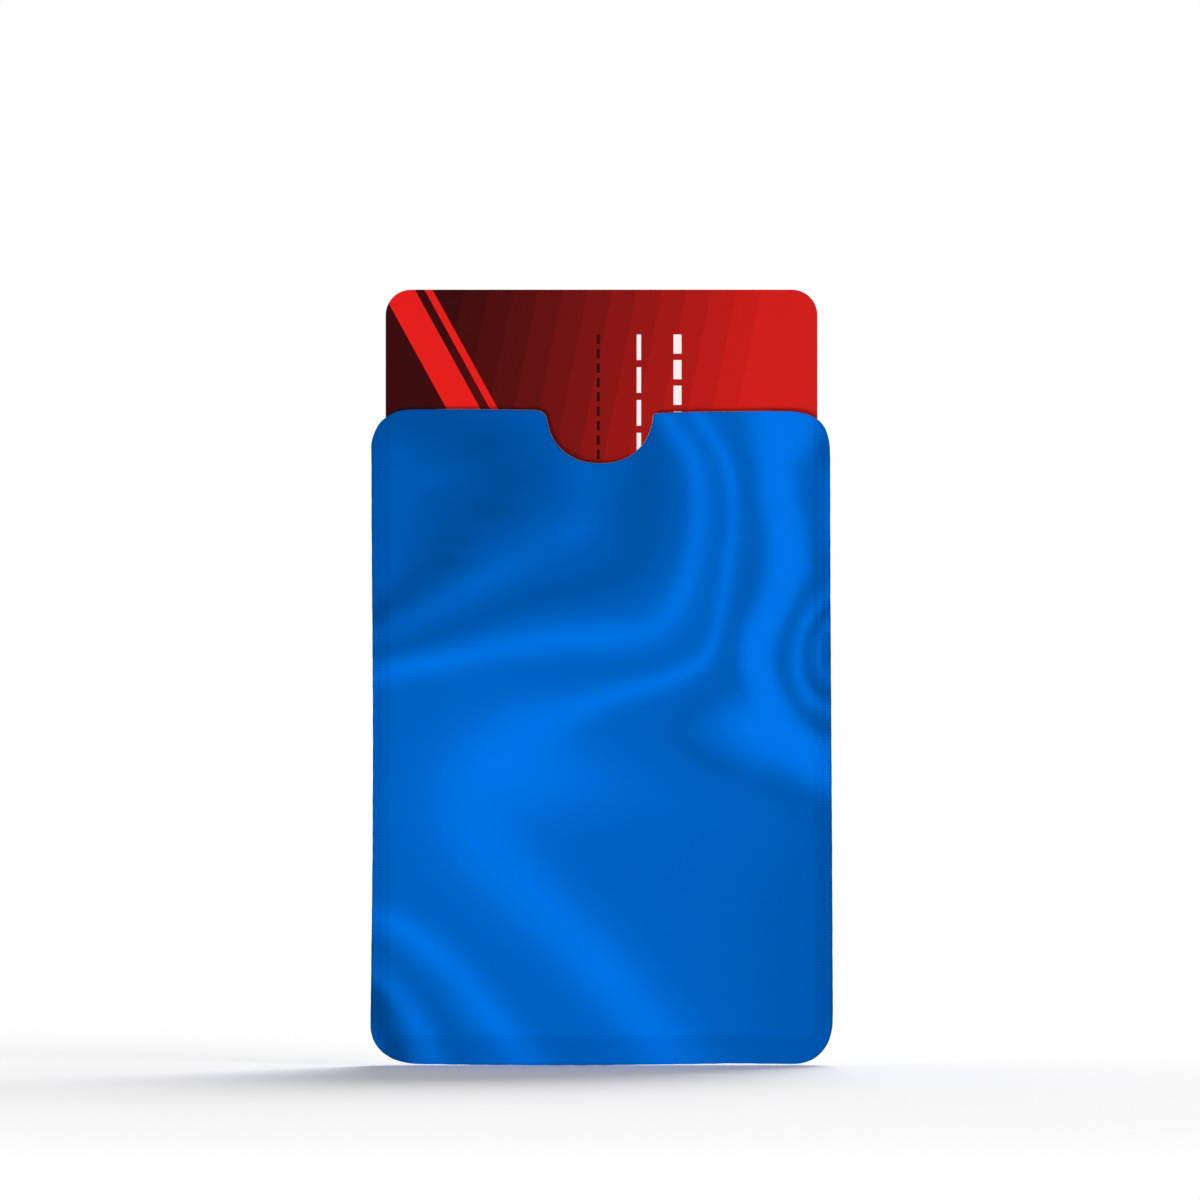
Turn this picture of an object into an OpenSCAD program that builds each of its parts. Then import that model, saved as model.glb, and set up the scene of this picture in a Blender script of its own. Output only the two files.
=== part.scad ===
// Stick-on card sleeve of heat-sealed foil laminate, with a payment-size card in its pocket.
//
// Millimetres. The sleeve stands upright: +Z runs along it to the open mouth, +X is to the
// right as seen from the front, and the front faces -Y. The origin is the centre of the
// adhesive pad's outer face, which is what sticks to a phone case or another flat back.
//
// Depths are measured forwards from that face, so a depth of u lies at y = -u. From the back:
// adhesive pad, back film, back shield, back lining, pocket with the card, front lining,
// front shield, front film. The back is flat. The front is pressed up over the card and
// folds down to the weld along both sides and the bottom.

/* [Card] */
// Width of the card, across the pocket
card_w = 53.98; // [45:0.01:65]
// Length of the card, along the pocket
card_l = 85.6; // [70:0.1:105]
// Radius of the card's corners
card_corner_r = 3.18; // [1:0.01:8]
// Thickness of each face film of the card, printed on its inner side
overlay_t = 0.05; // [0.04:0.01:0.12]
// Thickness of each printed core sheet of the card
core_t = 0.15; // [0.1:0.01:0.25]
// Thickness of the middle sheet, which holds the chip and the antenna
inlay_t = 0.36; // [0.34:0.01:0.5]
// Length of card left outside the mouth when it is pushed fully in
card_grip = 7.2; // [4:0.1:15]
// How far the card is drawn out from its stop
card_raise = 7.7; // [0:0.1:30]

/* [Pocket] */
// Gap between each long edge of the card and the pocket
side_clear = 0.1; // [0.05:0.01:1]
// Gap between each face of the card and the pocket
face_clear = 0.05; // [0.03:0.01:0.3]
// Gap left under the card when it is pushed fully in
end_clear = 0.1; // [0.05:0.05:1]
// How far the front spreads outwards as it folds down to the weld
fold_run = 0.55; // [0.3:0.05:1.5]

/* [Sleeve] */
// Width of the weld along each side
side_weld_w = 1.16; // [0.8:0.01:4]
// Height of the weld along the bottom
bottom_weld_h = 2.95; // [1.5:0.05:8]
// Radius of the sleeve's corners
corner_r = 5; // [2:0.1:8]
// Thickness of the coloured outer film
film_t = 0.05; // [0.03:0.01:0.1]
// Thickness of the metal foil that blocks radio reading
shield_t = 0.03; // [0.02:0.01:0.08]
// Thickness of the heat-sealing inner lining
lining_t = 0.12; // [0.06:0.01:0.25]

/* [Thumb notch] */
// Radius of the half-round notch in the front
notch_r = 6.7; // [4:0.1:12]
// Radius of the two lips where the notch meets the mouth
notch_lip_r = 0.8; // [0.3:0.1:2]

/* [Adhesive pad] */
// Bare border between the pad and each side of the sleeve
pad_side_margin = 3.8; // [1:0.1:12]
// Bare border between the pad and each end of the sleeve
pad_end_margin = 5; // [1:0.1:15]
// Radius of the pad's corners
pad_corner_r = 3; // [1:0.1:8]
// Thickness of each adhesive layer
adhesive_t = 0.06; // [0.03:0.01:0.3]
// Thickness of the film between the two adhesive layers
carrier_t = 0.08; // [0.03:0.01:0.5]

/* [Chip and antenna] */
// Number of turns of the antenna
antenna_turns = 4; // [2:1:6]
// Width of the antenna's track
track_w = 0.5; // [0.3:0.05:0.8]
// Gap between neighbouring tracks
track_gap = 0.4; // [0.2:0.05:0.8]
// Thickness of the track
track_t = 0.08; // [0.03:0.01:0.1]
// Border between the card's edge and the outermost track
antenna_margin = 3.4; // [2:0.1:8]
// Width of the chip package
chip_w = 8; // [6:0.1:10]
// Spare length of the chip package past the tracks at each end
chip_overhang = 0.7; // [0.3:0.1:2]
// Thickness of the chip package
chip_t = 0.2; // [0.1:0.01:0.22]

/* [Back of the card] */
// Width of the magnetic stripe
stripe_w = 12.7; // [9:0.1:14]
// Border between the stripe and the card's long edge
stripe_margin = 4; // [3:0.1:6]
// Thickness of the stripe and of the signature panel, both set flush into the back face
inset_t = 0.03; // [0.01:0.005:0.035]
// Width of the signature panel
signature_w = 9; // [5:0.1:14]
// Length of the signature panel
signature_l = 58; // [30:1:64]
// Gap between the stripe and the signature panel
signature_gap = 4; // [2:0.1:8]

/* [Hidden] */
$fn = 96;

// Spare length that carries a cut or a prism past the faces it meets
over = 1;

// Colours
film_blue = [0.0, 0.40, 0.80];
foil_silver = [0.78, 0.79, 0.80];
lining_white = [0.90, 0.92, 0.93];
weld_blue = [0.10, 0.42, 0.74];
adhesive_clear = [0.93, 0.92, 0.86];
carrier_white = [0.96, 0.96, 0.94];
card_red = [0.60, 0.08, 0.08];
core_white = [0.95, 0.94, 0.92];
inlay_cream = [0.88, 0.86, 0.80];
antenna_metal = [0.75, 0.60, 0.45];
chip_black = [0.10, 0.10, 0.11];
stripe_black = [0.09, 0.08, 0.08];
signature_white = [0.97, 0.96, 0.92];

// Depths of each face, forwards from the adhesive pad's outer face
carrier_u = adhesive_t;
inner_adhesive_u = carrier_u + carrier_t;
back_film_u = inner_adhesive_u + adhesive_t;
back_shield_u = back_film_u + film_t;
back_lining_u = back_shield_u + shield_t;
seal_u = back_lining_u + lining_t;
card_t = 2 * overlay_t + 2 * core_t + inlay_t;
pocket_t = card_t + 2 * face_clear;
roof_u = seal_u + pocket_t;
rear_overlay_u = seal_u + face_clear;
rear_core_u = rear_overlay_u + overlay_t;
inlay_u = rear_core_u + core_t;
front_core_u = inlay_u + inlay_t;
front_overlay_u = front_core_u + core_t;

// The pocket and the sleeve round it
pocket_depth = card_l + end_clear - card_grip;
pocket_half_w = card_w / 2 + side_clear;
sleeve_w = 2 * (pocket_half_w + fold_run + side_weld_w);
sleeve_h = pocket_depth + fold_run + bottom_weld_h;
mouth_z = sleeve_h / 2;
pocket_floor_z = mouth_z - pocket_depth;

// The front laminate keeps its thickness round the fold: the face d outside the pocket has
// its two creases shifted outwards by d times the tangent of half the fold's angle
fold_shift = tan(atan2(pocket_t, fold_run) / 2);
function crease_x(d) = pocket_half_w + d * fold_shift;
function foot_x(d) = crease_x(d) + fold_run;
function crease_z(d) = pocket_floor_z - d * fold_shift;
function foot_z(d) = crease_z(d) - fold_run;

// The card's place, and what is in and on it
card_z = pocket_floor_z + end_clear + card_raise + card_l / 2;
track_pitch = track_w + track_gap;
antenna_half_w = card_w / 2 - antenna_margin - track_w / 2;
antenna_half_l = card_l / 2 - antenna_margin - track_w / 2;
track_u = front_core_u - track_t;
chip_u = track_u - chip_t;
chip_l = antenna_turns * track_pitch + track_w + 2 * chip_overhang;
stripe_x = card_w / 2 - stripe_margin - stripe_w / 2;
signature_x = stripe_x - stripe_w / 2 - signature_gap - signature_w / 2;

// A flat sheet of thickness t whose back lies at depth u, from an outline drawn in X and Z
module sheet(u, t) {
    translate([0, -u, 0]) rotate([90, 0, 0]) linear_extrude(t) children();
}

module rounded_rect(w, h, r) {
    square([w - 2 * r, h], center = true);
    square([w, h - 2 * r], center = true);
    for (x = [-1, 1], z = [-1, 1])
        translate([x * (w / 2 - r), z * (h / 2 - r)]) circle(r);
}

module sleeve_outline() {
    rounded_rect(sleeve_w, sleeve_h, corner_r);
}

// Half-round notch centred on the mouth, whose lips curve outwards into the edge
module notch_outline() {
    lip_x = sqrt(pow(notch_r + notch_lip_r, 2) - pow(notch_lip_r, 2));
    translate([0, mouth_z]) {
        circle(notch_r);
        difference() {
            polygon([
                [0, 0], [lip_x, -notch_lip_r], [lip_x, over], [-lip_x, over], [-lip_x, -notch_lip_r]
            ]);
            for (x = [-1, 1]) translate([x * lip_x, -notch_lip_r]) circle(notch_lip_r);
        }
    }
}

module front_outline() {
    difference() {
        sleeve_outline();
        notch_outline();
    }
}

// The raised space over the card, with its walls d outside the pocket, from depth base_u.
// It is a side-to-side section and a top-to-bottom section, intersected
module raised_block(d, base_u) {
    intersection() {
        translate([0, 0, -sleeve_h]) linear_extrude(2 * sleeve_h) polygon([
            [-foot_x(d), -base_u], [-foot_x(d), -seal_u - d], [-crease_x(d), -roof_u - d],
            [crease_x(d), -roof_u - d], [foot_x(d), -seal_u - d], [foot_x(d), -base_u]
        ]);
        translate([-sleeve_w, 0, 0]) rotate([90, 0, 90]) linear_extrude(2 * sleeve_w) polygon([
            [-base_u, sleeve_h], [-roof_u - d, sleeve_h], [-roof_u - d, crease_z(d)],
            [-seal_u - d, foot_z(d)], [-base_u, foot_z(d)]
        ]);
    }
}

// One layer of the front laminate, between the faces inner_d and outer_d outside the pocket
module formed_layer(inner_d, outer_d) {
    intersection() {
        difference() {
            union() {
                sheet(seal_u + inner_d, outer_d - inner_d) square(2 * sleeve_h, center = true);
                raised_block(outer_d, seal_u + inner_d);
            }
            raised_block(inner_d, seal_u + inner_d - over);
        }
        sheet(0, roof_u + outer_d + over) front_outline();
    }
}

// The area of the pocket inside the weld, in X and Z
module pocket_area() {
    translate([-foot_x(0), foot_z(0)]) square([2 * foot_x(0), sleeve_h]);
}

// The two linings fused together round the pocket, with the fold that climbs to its roof,
// over the area of the 2D children
module weld_and_fold() {
    intersection() {
        formed_layer(0, lining_t);
        sheet(0, roof_u) children();
    }
    sheet(back_lining_u, lining_t) intersection() {
        children();
        difference() {
            sleeve_outline();
            pocket_area();
        }
    }
}

// The weld beside the pocket: side is -1 on the left and 1 on the right
module side_seam(side) {
    weld_and_fold() translate([side * (pocket_half_w + sleeve_w / 2), 0])
        square([sleeve_w, 2 * sleeve_h], center = true);
}

module front_film() {
    color(film_blue) formed_layer(lining_t + shield_t, lining_t + shield_t + film_t);
}

module front_shield() {
    color(foil_silver) formed_layer(lining_t, lining_t + shield_t);
}

// The flat of the front lining, over the card. Its folded edges belong to the seams
module front_lining() {
    color(lining_white) intersection() {
        formed_layer(0, lining_t);
        sheet(roof_u, lining_t + over) square(2 * sleeve_h, center = true);
    }
}

module left_seam() {
    color(weld_blue) side_seam(-1);
}

module right_seam() {
    color(weld_blue) side_seam(1);
}

module bottom_seam() {
    color(weld_blue) weld_and_fold() translate([-pocket_half_w, pocket_floor_z - sleeve_h])
        square([2 * pocket_half_w, sleeve_h]);
}

module back_lining() {
    color(lining_white) sheet(back_lining_u, lining_t) intersection() {
        sleeve_outline();
        pocket_area();
    }
}

module back_shield() {
    color(foil_silver) sheet(back_shield_u, shield_t) sleeve_outline();
}

module back_film() {
    color(film_blue) sheet(back_film_u, film_t) sleeve_outline();
}

module pad_outline() {
    rounded_rect(sleeve_w - 2 * pad_side_margin, sleeve_h - 2 * pad_end_margin, pad_corner_r);
}

module tape_inner_adhesive() {
    color(adhesive_clear) sheet(inner_adhesive_u, adhesive_t) pad_outline();
}

module tape_carrier() {
    color(carrier_white) sheet(carrier_u, carrier_t) pad_outline();
}

module tape_outer_adhesive() {
    color(adhesive_clear) sheet(0, adhesive_t) pad_outline();
}

module card_sheet(u, t) {
    sheet(u, t) translate([0, card_z]) rounded_rect(card_w, card_l, card_corner_r);
}

module card_front_overlay() {
    color(card_red) card_sheet(front_overlay_u, overlay_t);
}

module card_front_core() {
    color(core_white) card_sheet(front_core_u, core_t);
}

// The middle sheet, milled to take the chip and the antenna
module card_inlay() {
    color(inlay_cream) difference() {
        card_sheet(inlay_u, inlay_t);
        antenna_solid();
        chip_solid();
    }
}

// One straight stretch of track between two points, with square ends
module track(from, to) {
    low = [min(from.x, to.x) - track_w / 2, min(from.y, to.y) - track_w / 2];
    high = [max(from.x, to.x) + track_w / 2, max(from.y, to.y) + track_w / 2];
    translate(low) square(high - low);
}

// A square spiral that steps inwards by one pitch on each turn. Turn i runs along the
// bottom, up the right side, back along the top and down the left side to the next turn
module antenna_solid() {
    sheet(track_u, track_t) translate([0, card_z]) for (i = [0:antenna_turns - 1]) {
        step = i * track_pitch;
        start_x = -antenna_half_w + max(step - track_pitch, 0);
        side_x = antenna_half_w - step;
        end_z = antenna_half_l - step;
        track([start_x, -end_z], [side_x, -end_z]);
        track([side_x, -end_z], [side_x, end_z]);
        track([side_x, end_z], [-side_x, end_z]);
        track([-side_x, end_z], [-side_x, track_pitch - end_z]);
    }
}

// The chip package lies behind the tracks near the two ends of the spiral, and bridges them
module chip_solid() {
    sheet(chip_u, chip_t)
        translate([
            chip_w / 2 - antenna_half_w - track_w / 2,
            card_z - antenna_half_l + antenna_turns * track_pitch / 2
        ])
            square([chip_w, chip_l], center = true);
}

module card_antenna() {
    color(antenna_metal) antenna_solid();
}

module card_chip() {
    color(chip_black) chip_solid();
}

module card_rear_core() {
    color(core_white) card_sheet(rear_core_u, core_t);
}

module stripe_solid() {
    sheet(rear_overlay_u, inset_t) translate([stripe_x, card_z])
        square([stripe_w, card_l], center = true);
}

module signature_solid() {
    sheet(rear_overlay_u, inset_t) translate([signature_x, card_z])
        square([signature_w, signature_l], center = true);
}

module card_rear_overlay() {
    color(card_red) difference() {
        card_sheet(rear_overlay_u, overlay_t);
        stripe_solid();
        signature_solid();
    }
}

module card_magnetic_stripe() {
    color(stripe_black) stripe_solid();
}

module card_signature_panel() {
    color(signature_white) signature_solid();
}

front_film();
front_shield();
front_lining();
left_seam();
right_seam();
bottom_seam();
back_lining();
back_shield();
back_film();
tape_inner_adhesive();
tape_carrier();
tape_outer_adhesive();
card_front_overlay();
card_front_core();
card_inlay();
card_antenna();
card_chip();
card_rear_core();
card_rear_overlay();
card_magnetic_stripe();
card_signature_panel();
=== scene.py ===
"""Stick-on foil card sleeve and a payment-size card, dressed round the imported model.

Lengths are millimetres until a mesh, lamp or camera is made, where MM turns them into metres.
The front faces -Y. Depth u is measured forwards from the adhesive pad's outer face, so y = -u.
"""
import math

import bpy
import numpy as np
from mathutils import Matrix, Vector, kdtree
from mathutils.geometry import delaunay_2d_cdt


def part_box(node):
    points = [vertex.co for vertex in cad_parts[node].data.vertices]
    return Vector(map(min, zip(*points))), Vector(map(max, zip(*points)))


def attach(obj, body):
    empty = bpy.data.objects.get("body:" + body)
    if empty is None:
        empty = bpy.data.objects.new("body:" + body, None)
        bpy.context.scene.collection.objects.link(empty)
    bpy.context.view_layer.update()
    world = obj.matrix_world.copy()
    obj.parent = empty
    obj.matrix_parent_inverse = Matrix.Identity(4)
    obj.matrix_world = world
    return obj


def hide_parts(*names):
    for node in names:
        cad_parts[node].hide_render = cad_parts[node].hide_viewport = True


MM = 0.001
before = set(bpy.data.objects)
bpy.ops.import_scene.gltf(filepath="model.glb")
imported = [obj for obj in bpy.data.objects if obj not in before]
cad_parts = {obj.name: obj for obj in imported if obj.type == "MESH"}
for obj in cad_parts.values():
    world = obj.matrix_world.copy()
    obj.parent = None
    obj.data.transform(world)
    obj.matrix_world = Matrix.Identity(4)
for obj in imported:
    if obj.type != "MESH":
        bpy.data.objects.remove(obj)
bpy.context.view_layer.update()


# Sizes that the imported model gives
def box(node):
    """Lowest and highest corner of a node, in millimetres."""
    low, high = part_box(node)
    return low / MM, high / MM


def front_of(node):
    return -box(node)[0].y


def back_of(node):
    return -box(node)[1].y


HALF_W = box("back_film")[1].x
BOTTOM_Z = box("back_film")[0].z
MOUTH_Z = box("back_film")[1].z
FOOT_X = box("back_lining")[1].x
FOOT_Z = box("back_lining")[0].z
SEAL_U = front_of("back_lining")
ROOF_U = back_of("front_lining")
LINING_T = front_of("front_lining") - ROOF_U
FOIL_T = front_of("front_shield") - front_of("front_lining")
FILM_T = front_of("front_film") - front_of("front_shield")
CARD_HIGH = box("card_front_overlay")[1]

# The soft fold up from the weld to the roof of the pocket, beside the card and below it
FOLD_IN, SIDE_FOLD_OUT, FLOOR_FOLD_OUT = 0.58, 0.5, 1.0
ROOF_X = FOOT_X - FOLD_IN
WELD_X = FOOT_X + SIDE_FOLD_OUT
ROOF_Z = FOOT_Z + FOLD_IN
WELD_Z = FOOT_Z - FLOOR_FOLD_OUT
FOLD_EASE = 0.2

# Slight relief of the waves, about the level that keeps the front's mean depth
RELIEF = 0.08
RELIEF_LEVEL = 0.45
RELIEF_FADE = 2.5

# The cut outline, which wanders a little from its straight lines. A side is (z, how far it lies
# outside HALF_W) and an end is (x, how far it lies above its line), in the order of z or x.
LEFT_SIDE = [(-34, 0.09), (-27, -0.01), (-14, -0.16), (0, -0.2), (11, -0.15), (23, -0.05), (36, 0)]
RIGHT_SIDE = [(-34, 0.14), (-14, 0.05), (0, -0.04), (17, -0.15), (36, -0.2)]
BOTTOM_END = [(-24, 0.07), (-14, -0.07), (-2, -0.1), (8, 0.01), (17, 0.14), (24, 0.06)]
MOUTH_END = [(-24, -0.09), (-18, -0.02), (-9, -0.12), (7, -0.52), (12, -0.35), (20, -0.27),
             (26, -0.31)]
# Each corner is (run along the end, run along the side, power of its curve)
CORNERS = {
    "top_left": (4.9, 4.8, 2.05),
    "bottom_left": (6.5, 5.0, 2.3),
    "bottom_right": (5.1, 5.8, 2.25),
    "top_right": (6.3, 5.9, 2.9),
}
# The notch's middle, how far below the mouth it starts, its radius and its curve's power
NOTCH_X, NOTCH_DROP, NOTCH_R, NOTCH_POWER = -0.21, 0.14, 6.65, 2.2
LEFT_LIP_R, RIGHT_LIP_R = 1.4, 0.5
CORNER_POINTS, END_POINTS, SIDE_POINTS, NOTCH_POINTS, LIP_POINTS = 40, 60, 80, 90, 30
OUTLINE_STEP = 0.15
# Two points of a clipped outline that lie this close are one
SAME_PLACE = 0.02
# The fine wander of the cut: its size, and its waves as (radians per mm of x, of z, start)
CUT_WANDER = 0.006
CUT_WAVES = [(1.9, 1.3, 0), (-2.3, 3.1, 1), (0.7, -0.7, 0)]
# The film's cut lies this far behind the lining's along the mouth and round the notch, down to a
# depth below the mouth and in from the sides, each with a soft end
CUT_BACK = 0.03
CUT_BACK_DEPTH, CUT_BACK_DEPTH_SOFT = 8, 1.5
CUT_BACK_IN, CUT_BACK_IN_SOFT = 7, 2

# Rounding of the sheets' cut edges, the steps of the meshes' grids, and how far the grids keep
# from the cut
FILM_ROUND, FOIL_ROUND = 0.02, 0.01
FRONT_FINE, FRONT_COARSE = 0.4, 0.8
BACK_FINE, BACK_COARSE = 0.5, 2.0
RIM_MARGIN = 0.09
# An edge that turns by more than this is shaded sharp
SHARP_EDGE = math.radians(35)
# Columns of a row of points
X, Z = 0, 1

# The crosshatched band that the welding bar leaves along three sides
BAND_X = 26.5
BAND_Z = -37.4
ROW_PITCH, ROW_BEAT = 0.357, 0.391
COLUMN_PITCH, COLUMN_BEAT = 0.3, 0.266

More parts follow.
